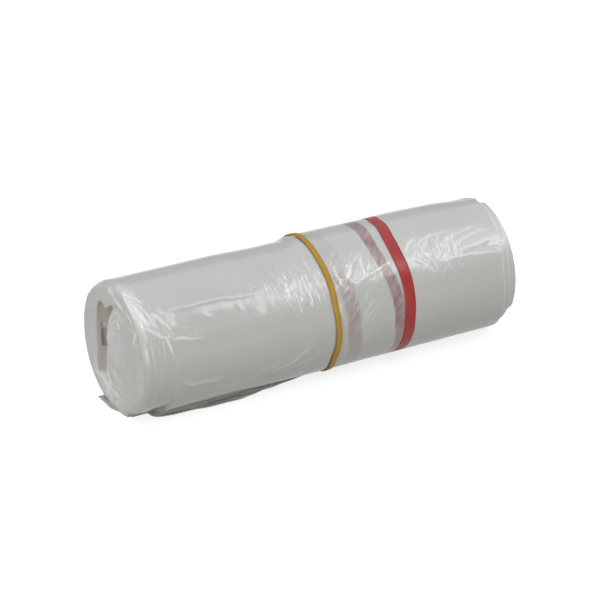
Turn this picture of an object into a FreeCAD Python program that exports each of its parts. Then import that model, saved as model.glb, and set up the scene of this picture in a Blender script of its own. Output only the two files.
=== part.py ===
import FreeCAD, Part
import math
import os
from FreeCAD import Vector

# A coreless roll of thin see-through bin bags that lies on its side, held by a rubber band.
# X runs along the roll, -Y is its front, +Z is up, and the roll rests on z = 0. Millimetres.
# An angle round the roll is 0 at the front and 90 at the top.

# The rolled film
roll_length = 196.0
wrap_radius = 32.0
settle = 2.0            # how far the soft roll has flattened under its own weight
wrap_step = 0.8         # the outer wrap stands this far over the turns inside it
wrap_inset_left = 14.0  # the turns inside reach this far out of the wrap
wrap_inset_right = 3.0
rounding_left = 4.0      # the film edges of the turns are rounded over at the ends
rounding_right = 2.2
ply_thickness = 0.4     # a loose ply that sticks out of the wrap at the right end
ply_reach = 1.2
ply_overlap = 6.0

# The slack in the roll: a hollow that the innermost turns only partly fill
hollow_radius = 18.5
front_wall = 11.4       # film between the hollow and the front of the turns
hollow_up = 4.0         # the hollow's middle, above the roll's axis
core_radius = 14.0
core_lean = 5.0         # the core leans on the turns round it at this angle
core_bite = 1.4         # and is pressed this deep into them
core_recess = 1.0       # the innermost turns end this far inside the ends
core_rounding = 3.0
ply_bite = 0.5          # the plies between core and turns are joined this deep to the turns

# The air gap behind the core. Its corners are measured behind the roll's axis and above the
# floor. Crumpled plies hang into its upper end like teeth.
gap_depth = 11.0
gap_rear = [(14.8, 13.0), (18.2, 13.5), (18.6, 25.0), (18.4, 36.0), (17.2, 45.5)]
gap_teeth = [(15.2, 48.5), (11.3, 49.3), (8.4, 47.3), (3.6, 51.6), (0.9, 51.0)]
gap_front = [(6.0, 47.0), (8.4, 40.8), (9.1, 32.0), (9.1, 25.0), (10.9, 15.2)]

# The turns as they show on the ends
ring_inset = 7.0        # the first turn round the hollow that shows is this far inside the wrap
ring_up = 1.0           # that turn's middle, above the roll's axis
ring_turns = 2.5
core_turns = 2.5
turn_gap = 0.5
turn_depth = 4.0
ring_margin = 0.8       # solid film left at the edges of each spiral
core_margin = 1.6

# Rubber band and coloured stripe
band_middle = 0.0
band_width = 3.0
band_thickness = 1.3
band_bite = 0.6         # how deep the band presses into the film
band_under = 0.9        # what is left of the band where the roll lies on it
stripe_inset = 57.0     # from the stripe to the right end
stripe_width = 6.0
stripe_thickness = 0.35
stripe_proud = 0.05
seat_clearance = 0.04

# Slack film at the front, low down between the wrap's left edge and the rubber band
slack_outline = [(0.0, 0.0), (0.04, 0.65), (0.12, 0.78), (0.45, 1.0), (0.78, 0.5), (1.0, 0.0)]
slack_reach = 19.0      # how far it spreads on the floor, from under the axis to the front
slack_top = 44.0        # where it leaves the roll, in degrees below the front
slack_narrow = 12.0     # it leaves the roll this many degrees lower at its two ends
slack_root = 60.0       # its inside corner, in degrees below the front
slack_lip = 1.2         # thickness of its folded edge
slack_bulge = 0.8       # how far its middle stands out of a straight line
slack_sink = 0.3        # how deep its edges run into the roll
slack_stop = 0.5        # it ends this short of the rubber band

# The loose end of the film, flat on the floor behind the roll
tail_reach_left = 15.5
tail_reach_right = 11.5
tail_thickness = 0.9
tail_inset_right = 10.0
tail_corner = 2.0

# Creases in the wrap. Each has the two places where it starts and ends, measured from what
# the name says, their angles, the height of its ridge and half its width.
crease_wrap_to_band = (4.0, 53.0, -30.0, 46.0, 0.55, 2.4)
crease_before_band = (-28.0, 46.0, -4.0, 38.0, 0.6, 2.2)
crease_band_to_stripe = (5.0, 34.0, -2.0, 45.0, 0.55, 2.2)
crease_stripe_to_end = (2.0, 43.0, -5.0, 24.0, 0.5, 2.4)
crease_stripe_to_end_high = (6.0, 49.0, -15.0, 60.0, 0.4, 2.0)
crease_wrap_left = (6.0, 30.0, 28.0, 20.0, 0.55, 1.8)
crease_wrap_to_band_low = (10.0, -10.0, -20.0, -24.0, 0.4, 2.2)
crease_root = 2.0       # how deep a ridge is rooted in the roll
crease_edge = 0.1
gather_count = 7        # short gathers on each side of the rubber band
gather_from = -12.0
gather_to = 118.0
gather_length = 10.0
gather_short = 0.65     # every other gather is shorter by this share
gather_turn = 5.0
gather_height = 0.7
gather_half = 2.2

half_length = roll_length / 2
axis_height = wrap_radius - settle
turns_radius = wrap_radius - wrap_step
ring_radius = wrap_radius - ring_inset
wrap_left = -half_length + wrap_inset_left
wrap_right = half_length - wrap_inset_right
hollow_rear = hollow_radius + front_wall - turns_radius
core_offset = hollow_radius - core_radius + core_bite
core_rear = hollow_rear - core_offset * math.cos(math.radians(core_lean))
core_up = hollow_up + core_offset * math.sin(math.radians(core_lean))
band_start = band_middle - band_width / 2
band_end = band_middle + band_width / 2
stripe_start = half_length - stripe_inset - stripe_width
stripe_end = half_length - stripe_inset
along = Vector(1, 0, 0)


def on_roll(x, angle, radius):
    a = math.radians(angle)
    return Vector(x, -radius * math.cos(a), axis_height + radius * math.sin(a))


def disc(x, rear, up, radius):
    circle = Part.Circle(Vector(x, rear, axis_height + up), along, radius)
    return Part.Face(Part.Wire(circle.toShape()))


def polygon(points):
    return Part.Face(Part.makePolygon(points + [points[0]]))


def rod(start, end, radius, floor):
    """A round rod along X that is flat underneath at the height floor."""
    low = floor - axis_height
    half = math.sqrt(radius ** 2 - low ** 2)
    left = Vector(start, -half, floor)
    right = Vector(start, half, floor)
    arc = Part.Arc(left, Vector(start, 0, axis_height + radius), right)
    flat = Part.LineSegment(right, left)
    face = Part.Face(Part.Wire([arc.toShape(), flat.toShape()]))
    return face.extrude(along * (end - start))


def rounded_rod(reach, radius, left, right, rear, up):
    """A rod as long as twice reach. Its end edges are broken by two cones of size left or right."""
    middle = Vector(0, rear, axis_height + up)
    corner = 1 - math.sqrt(0.5)
    outline = [
        (-reach, 0),
        (-reach, radius - left),
        (-reach + corner * left, radius - corner * left),
        (-reach + left, radius),
        (reach - right, radius),
        (reach - corner * right, radius - corner * right),
        (reach, radius - right),
        (reach, 0),
    ]
    face = polygon([middle + Vector(x, 0, r) for x, r in outline])
    return face.revolve(middle, along, 360)


def gap_outline(x):
    """The crescent between the core and the turns round it, with teeth at its upper end."""
    corners = gap_rear + gap_teeth + gap_front
    return polygon([Vector(x, rear, height) for rear, height in corners])


def spiral(turns, start, finish, width):
    """A spiral slot on the plane x = 0. start and finish are (rear, up, radius) of its first
    and last turn, so the turns lie closer together on one side, as in a slack roll."""

    def at(t, offset):
        a = 2 * math.pi * turns * t
        rear = start[0] + (finish[0] - start[0]) * t
        up = start[1] + (finish[1] - start[1]) * t
        radius = start[2] + (finish[2] - start[2]) * t + offset
        return Vector(0, rear - radius * math.cos(a), axis_height + up + radius * math.sin(a))

    quarters = int(4 * turns)
    half = width / 2
    edges = [Part.makeLine(at(t, half), at(t, -half)) for t in (0, 1)]
    for offset in (half, -half):
        for k in range(quarters):
            points = [at((k + share) / quarters, offset) for share in (0, 0.5, 1)]
            edges.append(Part.Arc(*points).toShape())
    return Part.Face(Part.Wire(Part.__sortEdges__(edges)))


def slot_at_ends(face, inset):
    """The slot of one spiral, cut into both ends of the roll."""
    left = face.copy()
    left.translate(along * (-half_length - 1))
    right = face.copy()
    right.translate(along * (half_length - inset - turn_depth))
    depth = turn_depth + inset + 1
    return [left.extrude(along * depth), right.extrude(along * depth)]


def ring_spiral():
    start = (0, ring_up, ring_radius)
    finish = (0, 0, turns_radius - ring_margin)
    return spiral(ring_turns, start, finish, turn_gap)


def core_spiral():
    start = (core_rear, core_up, core_margin)
    finish = (core_rear, core_up, core_radius - core_margin)
    return spiral(core_turns, start, finish, turn_gap)


def rolled_film():
    """The turns, hollow and core, with the outer wrap and the loose plies over them."""
    turns = rounded_rod(half_length, turns_radius, rounding_left, rounding_right, 0, 0)
    wrap = rod(wrap_left, wrap_right, wrap_radius, 0)
    ply = rod(wrap_right - ply_overlap, wrap_right + ply_reach, turns_radius + ply_thickness, 0)
    hollow = disc(-roll_length, hollow_rear, hollow_up, hollow_radius).extrude(along * 2 * roll_length)
    ring = turns.fuse([wrap, ply]).cut(hollow)
    ring = ring.cut(slot_at_ends(ring_spiral(), 0))
    core = rounded_rod(half_length - core_recess, core_radius, core_rounding, core_rounding,
                       core_rear, core_up)
    plies = disc(-half_length + core_recess, hollow_rear, hollow_up, hollow_radius + ply_bite)
    plies = plies.extrude(along * (roll_length - 2 * core_recess))
    inner = plies.fuse(core).cut(slot_at_ends(core_spiral(), core_recess))
    gap = gap_outline(-half_length - 1).extrude(along * (gap_depth + 1))
    other_gap = gap_outline(half_length - gap_depth).extrude(along * (gap_depth + 1))
    return ring.fuse(inner).cut([gap, other_gap])


def slack_film():
    """Slack film that hangs off the roll's lower front and lies folded on the floor."""
    flat_half = math.sqrt(wrap_radius ** 2 - axis_height ** 2)
    least_reach = flat_half - slack_sink
    length = band_start - slack_stop - wrap_left
    sections = []
    for place, share in slack_outline:
        x = wrap_left + length * place
        reach = least_reach + (slack_reach - least_reach) * share
        top = on_roll(x, -slack_top - slack_narrow * (1 - share), wrap_radius - slack_sink)
        middle_out = (2 * top.y - reach) / 3 + slack_bulge * share
        points = [
            Vector(x, -flat_half / 2, 0),
            Vector(x, -reach, 0),
            Vector(x, -reach - slack_lip / 2 * share, slack_lip * (share + 0.1)),
            Vector(x, middle_out, top.z / 2 + slack_sink),
            top,
            on_roll(x, -slack_root, wrap_radius - 2 * slack_lip),
        ]
        sections.append(Part.makePolygon(points + [points[0]]))
    return Part.makeLoft(sections, True, True)


def floor_tail():
    """The loose end of the film, a thin flange on the floor behind the roll."""
    right = half_length - tail_inset_right
    points = [
        Vector(-half_length, 0, 0),
        Vector(right, 0, 0),
        Vector(right, tail_reach_right, 0),
        Vector(-half_length + tail_corner, tail_reach_left, 0),
        Vector(-half_length, tail_reach_left - tail_corner / 2, 0),
    ]
    return polygon(points).extrude(Vector(0, 0, tail_thickness))


def crease(x0, angle0, x1, angle1, height, half_width):
    """A ridge that rises from two points on the film to its highest point between them."""
    surface = wrap_radius - crease_edge
    run = x1 - x0
    climb = math.radians(angle1 - angle0) * wrap_radius
    length = math.hypot(run, climb)
    middle_x = (x0 + x1) / 2
    middle_angle = (angle0 + angle1) / 2
    side_x = half_width * climb / length
    side_angle = math.degrees(half_width * run / length / wrap_radius)
    first = on_roll(x0, angle0, surface)
    last = on_roll(x1, angle1, surface)
    crest = on_roll(middle_x, middle_angle, wrap_radius + height)
    above = on_roll(middle_x - side_x, middle_angle + side_angle, surface)
    below = on_roll(middle_x + side_x, middle_angle - side_angle, surface)
    keel = on_roll(middle_x, middle_angle, wrap_radius - crease_root)
    corners = [
        (first, above, crest), (first, crest, below), (last, crest, above), (last, below, crest),
        (first, keel, above), (first, below, keel), (last, above, keel), (last, keel, below),
    ]
    return Part.Solid(Part.Shell([polygon(list(corner)) for corner in corners]))


def between(left, right, places):
    """A crease whose start is measured from left and whose end is measured from right."""
    start, angle0, end, angle1, height, half_width = places
    return crease(left + start, angle0, right + end, angle1, height, half_width)


def creases():
    """The long creases, and the gathers beside the rubber band."""
    found = [
        between(wrap_left, band_middle, crease_wrap_to_band),
        between(band_middle, band_middle, crease_before_band),
        between(band_middle, stripe_start, crease_band_to_stripe),
        between(stripe_end, wrap_right, crease_stripe_to_end),
        between(stripe_end, wrap_right, crease_stripe_to_end_high),
        between(wrap_left, wrap_left, crease_wrap_left),
        between(wrap_left, band_middle, crease_wrap_to_band_low),
    ]
    spacing = (gather_to - gather_from) / (gather_count - 1)
    for k in range(gather_count):
        angle = gather_from + spacing * k
        other = angle + spacing / 2
        length = gather_length if k % 2 else gather_length * gather_short
        turn = gather_turn if k % 3 else -gather_turn
        found.append(crease(band_start - length, angle + turn, band_start + 1, angle,
                            gather_height, gather_half))
        found.append(crease(band_end - 1, other, band_end + length, other - turn,
                            gather_height, gather_half))
    return found


def sleeve(start, width, outer, inner, under):
    """A band round the roll. Under the roll it is flat and as thick as under."""
    body = rod(start, start + width, outer, 0)
    return body.cut(rod(start - 1, start + width + 1, inner, under))


def seat(start, width, depth, under):
    """The groove that holds a band of the given depth, with a little room all round."""
    room = seat_clearance
    return sleeve(start - room, width + 2 * room, 2 * wrap_radius, wrap_radius - depth - room, under + room)


def bag_roll():
    film = rolled_film().fuse([slack_film(), floor_tail()] + creases())
    below = Part.makeBox(2 * roll_length, 4 * wrap_radius, wrap_radius,
                         Vector(-roll_length, -2 * wrap_radius, -wrap_radius))
    band_seat = seat(band_start, band_width, band_bite, band_under)
    stripe_seat = seat(stripe_start, stripe_width, stripe_thickness - stripe_proud, stripe_thickness)
    return film.cut([below, band_seat, stripe_seat])


def rubber_band():
    inner = wrap_radius - band_bite
    return sleeve(band_start, band_width, inner + band_thickness, inner, band_under)


def red_stripe():
    outer = wrap_radius + stripe_proud
    return sleeve(stripe_start, stripe_width, outer, outer - stripe_thickness, stripe_thickness)


def save(name, shape):
    solids = shape.removeSplitter().Solids
    shape = solids[0] if len(solids) == 1 else Part.Compound(solids)
    shape.exportStep(os.path.join("parts", name + ".step"))
    print(name, len(solids), "solid", round(shape.Volume), "mm3", shape.isValid(), len(shape.Faces), "faces")


os.makedirs("parts", exist_ok=True)
save("bag_roll", bag_roll())
save("rubber_band", rubber_band())
save("red_stripe", red_stripe())
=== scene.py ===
import math
import bpy
import bmesh
import numpy as np
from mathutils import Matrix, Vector


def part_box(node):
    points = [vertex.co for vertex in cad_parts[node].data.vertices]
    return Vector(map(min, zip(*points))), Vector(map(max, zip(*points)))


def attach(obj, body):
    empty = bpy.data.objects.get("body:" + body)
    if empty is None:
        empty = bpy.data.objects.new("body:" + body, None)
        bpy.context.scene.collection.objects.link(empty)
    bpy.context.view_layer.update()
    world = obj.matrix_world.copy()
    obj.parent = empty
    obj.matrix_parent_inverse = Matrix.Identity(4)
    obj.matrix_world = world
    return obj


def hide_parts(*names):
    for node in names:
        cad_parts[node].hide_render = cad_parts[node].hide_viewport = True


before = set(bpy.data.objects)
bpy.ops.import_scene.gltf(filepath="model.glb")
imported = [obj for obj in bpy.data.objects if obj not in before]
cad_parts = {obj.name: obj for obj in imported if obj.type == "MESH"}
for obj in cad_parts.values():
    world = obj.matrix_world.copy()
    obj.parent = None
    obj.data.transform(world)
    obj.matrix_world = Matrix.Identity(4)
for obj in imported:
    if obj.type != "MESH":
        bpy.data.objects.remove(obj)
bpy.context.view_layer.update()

mm = 0.001
print("stage: frame loaded")

# The roll lies along X and its front is -Y. An angle round it is 0 at the front and 90 at the top.
# Lengths in the dictionaries are millimetres and angles are degrees, unless a note says otherwise.
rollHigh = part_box("bag_roll")[1]
bandLow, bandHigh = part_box("rubber_band")
stripeLow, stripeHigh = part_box("red_stripe")

roll = {
    "half": rollHigh.x / mm,              # half the length
    "radius": stripeHigh.y / mm - 0.05,   # of the outer wrap
    "axis": (stripeHigh.z - stripeHigh.y) / mm,
    "wrapLeft": -84.0,                    # where the outer wrap stops
    "wrapRight": 95.0,
    "innerLeft": 31.6,                    # radius of the turns that stick out of the wrap
    "innerRight": 31.8,
    "bandAt": (bandLow.x + bandHigh.x) / 2 / mm,
    "stripe": (stripeLow.x / mm, stripeHigh.x / mm),
    "inkDepth": 0.35,
    "steps": 288,                         # mesh lines round the roll
}


# Smooth noise and small helpers, all on numpy arrays

# smooth noise from about -1 to 1, with a cell size of 1
def gradientNoise(u, v, seed):
    table = np.random.RandomState(seed).uniform(0, 2 * np.pi, (256, 256))
    iu = np.floor(u).astype(int)
    iv = np.floor(v).astype(int)
    fu = u - iu
    fv = v - iv

    def corner(du, dv):
        angle = table[(iu + du) % 256, (iv + dv) % 256]
        return np.cos(angle) * (fu - du) + np.sin(angle) * (fv - dv)

    su = fu * fu * fu * (fu * (fu * 6 - 15) + 10)
    sv = fv * fv * fv * (fv * (fv * 6 - 15) + 10)
    low = corner(0, 0) * (1 - su) + corner(1, 0) * su
    high = corner(0, 1) * (1 - su) + corner(1, 1) * su
    return 1.4 * (low * (1 - sv) + high * sv)


# sharp ridges: 1 on a ridge, falling away from it on both sides
def ridges(u, v, seed):
    return 1 - 2.2 * np.abs(gradientNoise(u, v, seed))


# straight slopes from -1 to 1 and back once in every 1 of phase, as folded film has
def folds(phase):
    return 1 - 4 * np.abs(phase % 1.0 - 0.5)


def ramp(value, low, high):
    t = np.clip((value - low) / (high - low), 0, 1)
    return t * t * (3 - 2 * t)


def bell(value, middle, width):
    return np.exp(-((value - middle) / width) ** 2)


# a colour written as sRGB hex, as the linear colour that a socket takes
def srgb(code):
    parts = [int(code[i:i + 2], 16) / 255 for i in (1, 3, 5)]
    return [*(c / 12.92 if c <= 0.04045 else ((c + 0.055) / 1.055) ** 2.4 for c in parts), 1.0]


# How the film lies: the height of its surface over a plain round roll

# single creases: height, half width, how much it whitens the film, partly as a painted highlight, or
# darkens it as painted shade where it is below 0, and its path as (x, angle)
creases = [
    # the ridge along the left part, and the fold where it starts
    (0.42, 1.1, 0.5, [(-87, 51), (-76, 49), (-56, 49), (-39, 47), (-26, 52)]),
    (-0.25, 0.9, -0.4, [(-84, 53.5), (-70, 51.5), (-56, 51.3), (-38, 49.5)]),
    (0.50, 1.6, 0.9, [(-90, 52), (-87, 45), (-83.5, 37)]),
    (0.35, 1.6, 0.5, [(-86, 50), (-82, 46), (-81, 38), (-84, 32)]),
    (0.45, 1.1, 0.9, [(-94, 42), (-92, 36), (-87.5, 30), (-82.5, 26.5)]),
    (0.40, 1.0, 0.9, [(-84, 27), (-75, 24), (-66, 20)]),
    (0.12, 0.8, 0.5, [(-66, 43), (-64, 38), (-61, 36.5)]),
    (0.16, 1.3, 0.3, [(-48, 43), (-47, 34)]),
    # cut edges that wander over the turns at the left end
    (0.35, 0.8, 0.6, [(-96.5, 82), (-97, 67), (-96.5, 53), (-95, 37)]),
    (0.30, 0.8, 0.5, [(-95.4, 80), (-95.8, 66), (-95, 48), (-94, 42)]),
    (0.35, 0.8, 0.7, [(-94.9, 69), (-94.5, 58), (-93.5, 47), (-92, 38)]),
    # folds beside the left end's sharp edge
    (-0.25, 0.8, -0.5, [(-96.4, 37), (-96.8, 22), (-96.8, 4)]),
    (0.25, 0.7, 0.5, [(-95.4, 34), (-95.6, 18), (-95.4, 0)]),
    (-0.20, 0.8, -0.3, [(-93.6, 34), (-94, 20), (-93.8, 2)]),
    # folds that run round the roll, left of the rubber band
    (0.18, 1.6, 0.4, [(-31, 56), (-33, 36)]),
    (0.20, 2.4, 0.2, [(-37, 48), (-40, 22)]),
    (0.40, 1.3, 0.7, [(-23, 57), (-22, 49), (-21, 38)]),
    (0.40, 1.2, 0.8, [(-22, 39), (-18, 46), (-15, 53)]),
    (0.35, 1.2, 0.8, [(-14, 53), (-15, 44), (-16, 34)]),
    (0.45, 1.3, 0.8, [(-12.5, 51), (-12.5, 40), (-11, 24)]),
    (0.30, 1.0, 0.6, [(-10, 47), (-10, 35)]),
    (0.35, 1.2, 0.8, [(-7, 52), (-5.5, 42), (-5.5, 34)]),
    (0.30, 1.0, 0.5, [(-7, 66), (-7.5, 57)]),
    (0.25, 0.9, 0.6, [(-2.5, 47), (-2.5, 28)]),
    # the fan between the rubber band and the stripe
    (0.35, 1.2, 0.8, [(4, 56), (4, 45), (6, 32)]),
    (0.32, 1.1, 0.8, [(8, 38), (12, 50), (19, 58), (26, 63)]),
    (0.35, 1.2, 0.8, [(19, 57), (18, 45), (19, 35)]),
    (0.28, 0.9, 0.8, [(10, 32), (20, 39), (28, 43), (36, 47)]),
    (0.35, 1.2, 0.8, [(8, 47), (10, 37), (15, 31)]),
    (0.30, 1.2, 0.6, [(5, 38), (10, 42), (14, 49)]),
    (0.25, 1.4, 0.3, [(3, 20), (11, 28)]),
    (0.25, 1.6, 0.2, [(4, 2), (11, 15), (19, 21)]),
    (0.25, 1.5, 0.2, [(9, -8), (16, 5), (26, 12)]),
    (0.25, 1.6, 0.1, [(9, -25), (17, -18), (25, -13)]),
    # the fan between the stripe and the right end
    (0.40, 1.1, 0.9, [(42, 49), (46, 57), (52, 63)]),
    (0.40, 1.2, 0.9, [(50, 47), (55, 55), (61, 64)]),
    (0.30, 1.6, 0.6, [(45, 51), (54, 58), (64, 60), (75, 60)]),
    (0.30, 1.6, 0.5, [(60, 49), (69, 55), (80, 59), (90, 59)]),
    (0.25, 1.4, 0.5, [(67, 45), (73, 50), (83, 54), (92, 53)]),
    (0.35, 1.0, 0.9, [(45, 43), (51, 34), (56, 25)]),
    (0.30, 1.0, 0.7, [(51, 47), (54, 37), (57, 26)]),
    (0.20, 0.9, 0.5, [(61, 38), (63, 30), (65, 21)]),
    (0.30, 1.1, 0.8, [(51, 55), (52, 46), (56, 40)]),
    (0.30, 1.1, 0.8, [(60, 55), (60, 46), (58, 37)]),
    (0.25, 1.0, 0.8, [(65, 52), (65, 45), (63, 38)]),
    (0.25, 1.0, 0.8, [(69, 50), (69, 41)]),
    (0.30, 1.3, 0.5, [(57, 34), (67, 36), (79, 35), (93, 31)]),
    (-0.30, 1.0, -0.3, [(70, 37), (81, 39.5), (93, 42)]),
    (-0.25, 1.0, -0.2, [(83, 41), (92, 33)]),
    # wrinkles low on the front
    (0.45, 1.7, 1.4, [(-81, -10), (-74, -16), (-56, -20)]),
    (0.35, 1.8, 0.9, [(-67, -30), (-50, -30), (-34, -29)]),
    (0.45, 1.5, 1.6, [(-36, -27), (-24, -23), (-16, -12), (-11, -4)]),
    (0.35, 1.5, 0.9, [(-44, -26), (-26, -17)]),
    (0.30, 1.4, 0.8, [(-28, -31), (-12, -24), (-3, -14)]),
]

# places full of small creases: x, angle, half size along and round the roll, direction of the
# creases (0 along the roll, 90 round it), spacing, height
creasePatches = [
    (-16, 44, 13, 9, 94, 3.0, 0.20), (-12, 36, 9, 7, 112, 3.4, 0.14), (-36, 42, 12, 8, 88, 5.0, 0.09),
    (15, 47, 12, 8, 50, 2.8, 0.20), (6, 44, 5, 8, 96, 2.6, 0.20), (14, 12, 12, 11, 52, 4.0, 0.09),
    (52, 49, 8, 8, 48, 2.6, 0.18), (50, 37, 8, 6, 132, 2.8, 0.14), (64, 46, 9, 7, 84, 2.4, 0.16),
    (72, 56, 14, 4, 14, 2.6, 0.10), (60, 30, 9, 5, 140, 3.4, 0.07), (85, 41, 9, 5, 12, 3.0, 0.04),
    (-86, 42, 6, 8, 128, 2.8, 0.20), (-76, 33, 8, 6, 160, 3.4, 0.10), (30, 42, 9, 6, 56, 2.8, 0.14),
    (-94, 58, 3.5, 12, 98, 2.0, 0.14), (-60, -20, 24, 5, 3, 3.4, 0.08), (0, -24, 22, 6, 12, 4.0, 0.08),
]

# the height at which small creases are quite white
whiteCrest = 0.2

# parts of the wrap that are pulled flatter: x, lower and upper angle, at both ends, share
flatParts = [
    (-86, 25, 50, -30, 27, 49, 0.45), (66, 34, 39, 93, 31, 48, 0.6),
    (44, 48, 62, 92, 49, 64, 0.5), (6, 50, 66, 34, 52, 66, 0.5),
]

# cut edges of film plies that lie on the turns at the left end: x, height, wander
filmEdges = [(-87.6, 0.10, 0.9), (-90.6, 0.12, 1.1), (-93.0, 0.10, 0.7)]


# height of the single creases, and how white they make the film, partly as painted highlights and painted
# shade
def singleCreases(x, s):
    height = np.zeros_like(x)
    white = np.zeros_like(x)
    bend = 0.6 * gradientNoise(x / 6, s / 6, 12)
    for crest, width, shine, path in creases:
        points = [(px, math.radians(pa) * roll["radius"]) for px, pa in path]
        away = np.full_like(x, 1000.0)
        place = np.zeros_like(x)
        run = 0.0
        for (x0, s0), (x1, s1) in zip(points, points[1:]):
            length = math.hypot(x1 - x0, s1 - s0)
            ux = (x1 - x0) / length
            us = (s1 - s0) / length
            along = np.clip((x - x0) * ux + (s - s0) * us, 0, length)
            off = np.hypot(x - x0 - along * ux + bend, s - s0 - along * us + bend)
            place = np.where(off < away, run + along, place)
            away = np.minimum(off, away)
            run += length
        taper = ramp(place, -0.5, 0.25 * run) * (1 - ramp(place, 0.65 * run, run + 0.5))
        height += crest * taper * np.clip(1 - away / (1.6 * width), 0, 1) ** 1.4
        white += shine * taper * np.clip(1 - away / (0.6 * width + 0.3), 0, 1)
    return height, white


# height of the small creases, and how white they make the film, partly as painted highlights
def smallCreases(x, s):
    height = np.zeros_like(x)
    white = np.zeros_like(x)
    for k, (px, pa, halfX, halfS, lean, spacing, crest) in enumerate(creasePatches):
        seed = 200 + 3 * k
        ps = math.radians(pa) * roll["radius"]
        mask = np.exp(-((x - px) / halfX) ** 2 - ((s - ps) / halfS) ** 2)
        ca = math.cos(math.radians(lean))
        sa = math.sin(math.radians(lean))
        # the place along and across the creases, counted in their spacing
        along = (x * ca + s * sa) / spacing
        across = (s * ca - x * sa) / spacing
        bend = 0.8 * gradientNoise(along / 3.2, across / 2.4, seed)
        strength = 0.5 + 0.6 * gradientNoise(along / 4, across / 1.4, seed + 1)
        height += 0.8 * crest * mask * np.clip(strength, 0, 1) * folds(across + bend)
        lines = 1 - 4.5 * np.abs(gradientNoise(along / 3, across / 0.75 + bend, seed + 2))
        white += crest / whiteCrest * mask * np.clip(lines, 0, 1) * np.clip(strength + 0.2, 0, 1)
    return height, white


# how far the flatter parts lie below the round wrap
def flatDrop(x, a):
    total = np.zeros_like(x)
    for x0, low0, high0, x1, low1, high1, share in flatParts:
        t = np.clip((x - x0) / (x1 - x0), 0, 1)
        middle = ((low0 + high0) + (low1 + high1 - low0 - high0) * t) / 2
        half = ((high0 - low0) + (high1 - low1 - high0 + low0) * t) / 2
        off = np.clip(np.abs(a - middle), 0, half)
        chord = np.cos(np.radians(half)) / np.cos(np.radians(off))
        fade = ramp(x, x0 - 6, x0 + 6) * (1 - ramp(x, x1 - 5, x1 + 5))
        total = np.maximum(total, share * roll["radius"] * (1 - chord) * fade)
    return total


# how creased the film is, from 0 to 1
def creasedShare(x, a):
    s = np.radians(a) * roll["radius"]
    total = np.zeros_like(x)
    for px, pa, halfX, halfS, lean, spacing, crest in creasePatches:
        ps = math.radians(pa) * roll["radius"]
        steep = math.sin(math.radians(lean)) ** 2
        total += steep * crest / whiteCrest * np.exp(-((x - px) / halfX) ** 2 - ((s - ps) / halfS) ** 2)
    return np.clip(total, 0, 1)


# the milky haze of creased and stretched film, with painted sheen and painted highlights where the key
# light falls on the creases, from 0 to 1
def filmHazeAndSheen(x, a):
    s = np.radians(a) * roll["radius"]
    lit = bell(a, 46, 24)             # where the photograph shows the creases brightest
    # painted sheen: broad pale bands along the lit upper front, and a patch near the right end
    hazeAndPaintedLight = 0.14 * ramp(x, 36, 46) * bell(a, 46, 15) + 0.08 * ramp(x, -40, -20) * bell(a, 48, 13)
    hazeAndPaintedLight += 0.12 * bell(x, 84, 12) * bell(a, 42, 7)
    hazeAndPaintedLight += 0.7 * np.clip(singleCreases(x, s)[1], -0.4, 1.2) * (0.35 + 0.65 * lit)
    hazeAndPaintedLight += 0.28 * smallCreases(x, s)[1] * (0.25 + 0.75 * lit)
    return hazeAndPaintedLight


# the place of a cut edge that wanders to and fro along the roll
def edgePlace(x, a, wander, seed):
    return x + wander * (gradientNoise(a / 38, a * 0 + seed, 61) + 0.4 * gradientNoise(a / 11, a * 0, 62))


# the cut edges at the ends: on top they lie close to the left end
def leftEdge(at, a, wander):
    shift = 0.85 * (96.5 + at) * ramp(a, 42, 82)
    return edgePlace(at, a, wander, at) - shift


def rightEdge(a):
    return edgePlace(roll["wrapRight"], a, 0.5, 3) - 4.2 * bell(a, 8, 42) + 2.2 * ramp(a, 91, 97)


# on top the film stands higher on the right of the rubber band
def hump(x, a):
    return 0.6 * ramp(x, -6, -1) * (1 - ramp(x, 10, 40)) * ramp(a, 55, 92) * (1 - ramp(a, 130, 170))


# how far the rubber band lies off its plane, along the roll
def bandShift(a):
    low = np.where(a > 200, 360 - a, -a)
    shift = 0.5 * bell(a, -15, 18) - 0.6 * bell(a, 62, 22) - 0.6 * bell(a, 25, 16)
    shift += 1.3 * ramp(a, 85, 110) * (1 - ramp(a, 130, 200))
    return shift + 2.4 * ramp(low, 28, 55) * (1 - ramp(low, 90, 150))


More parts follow.
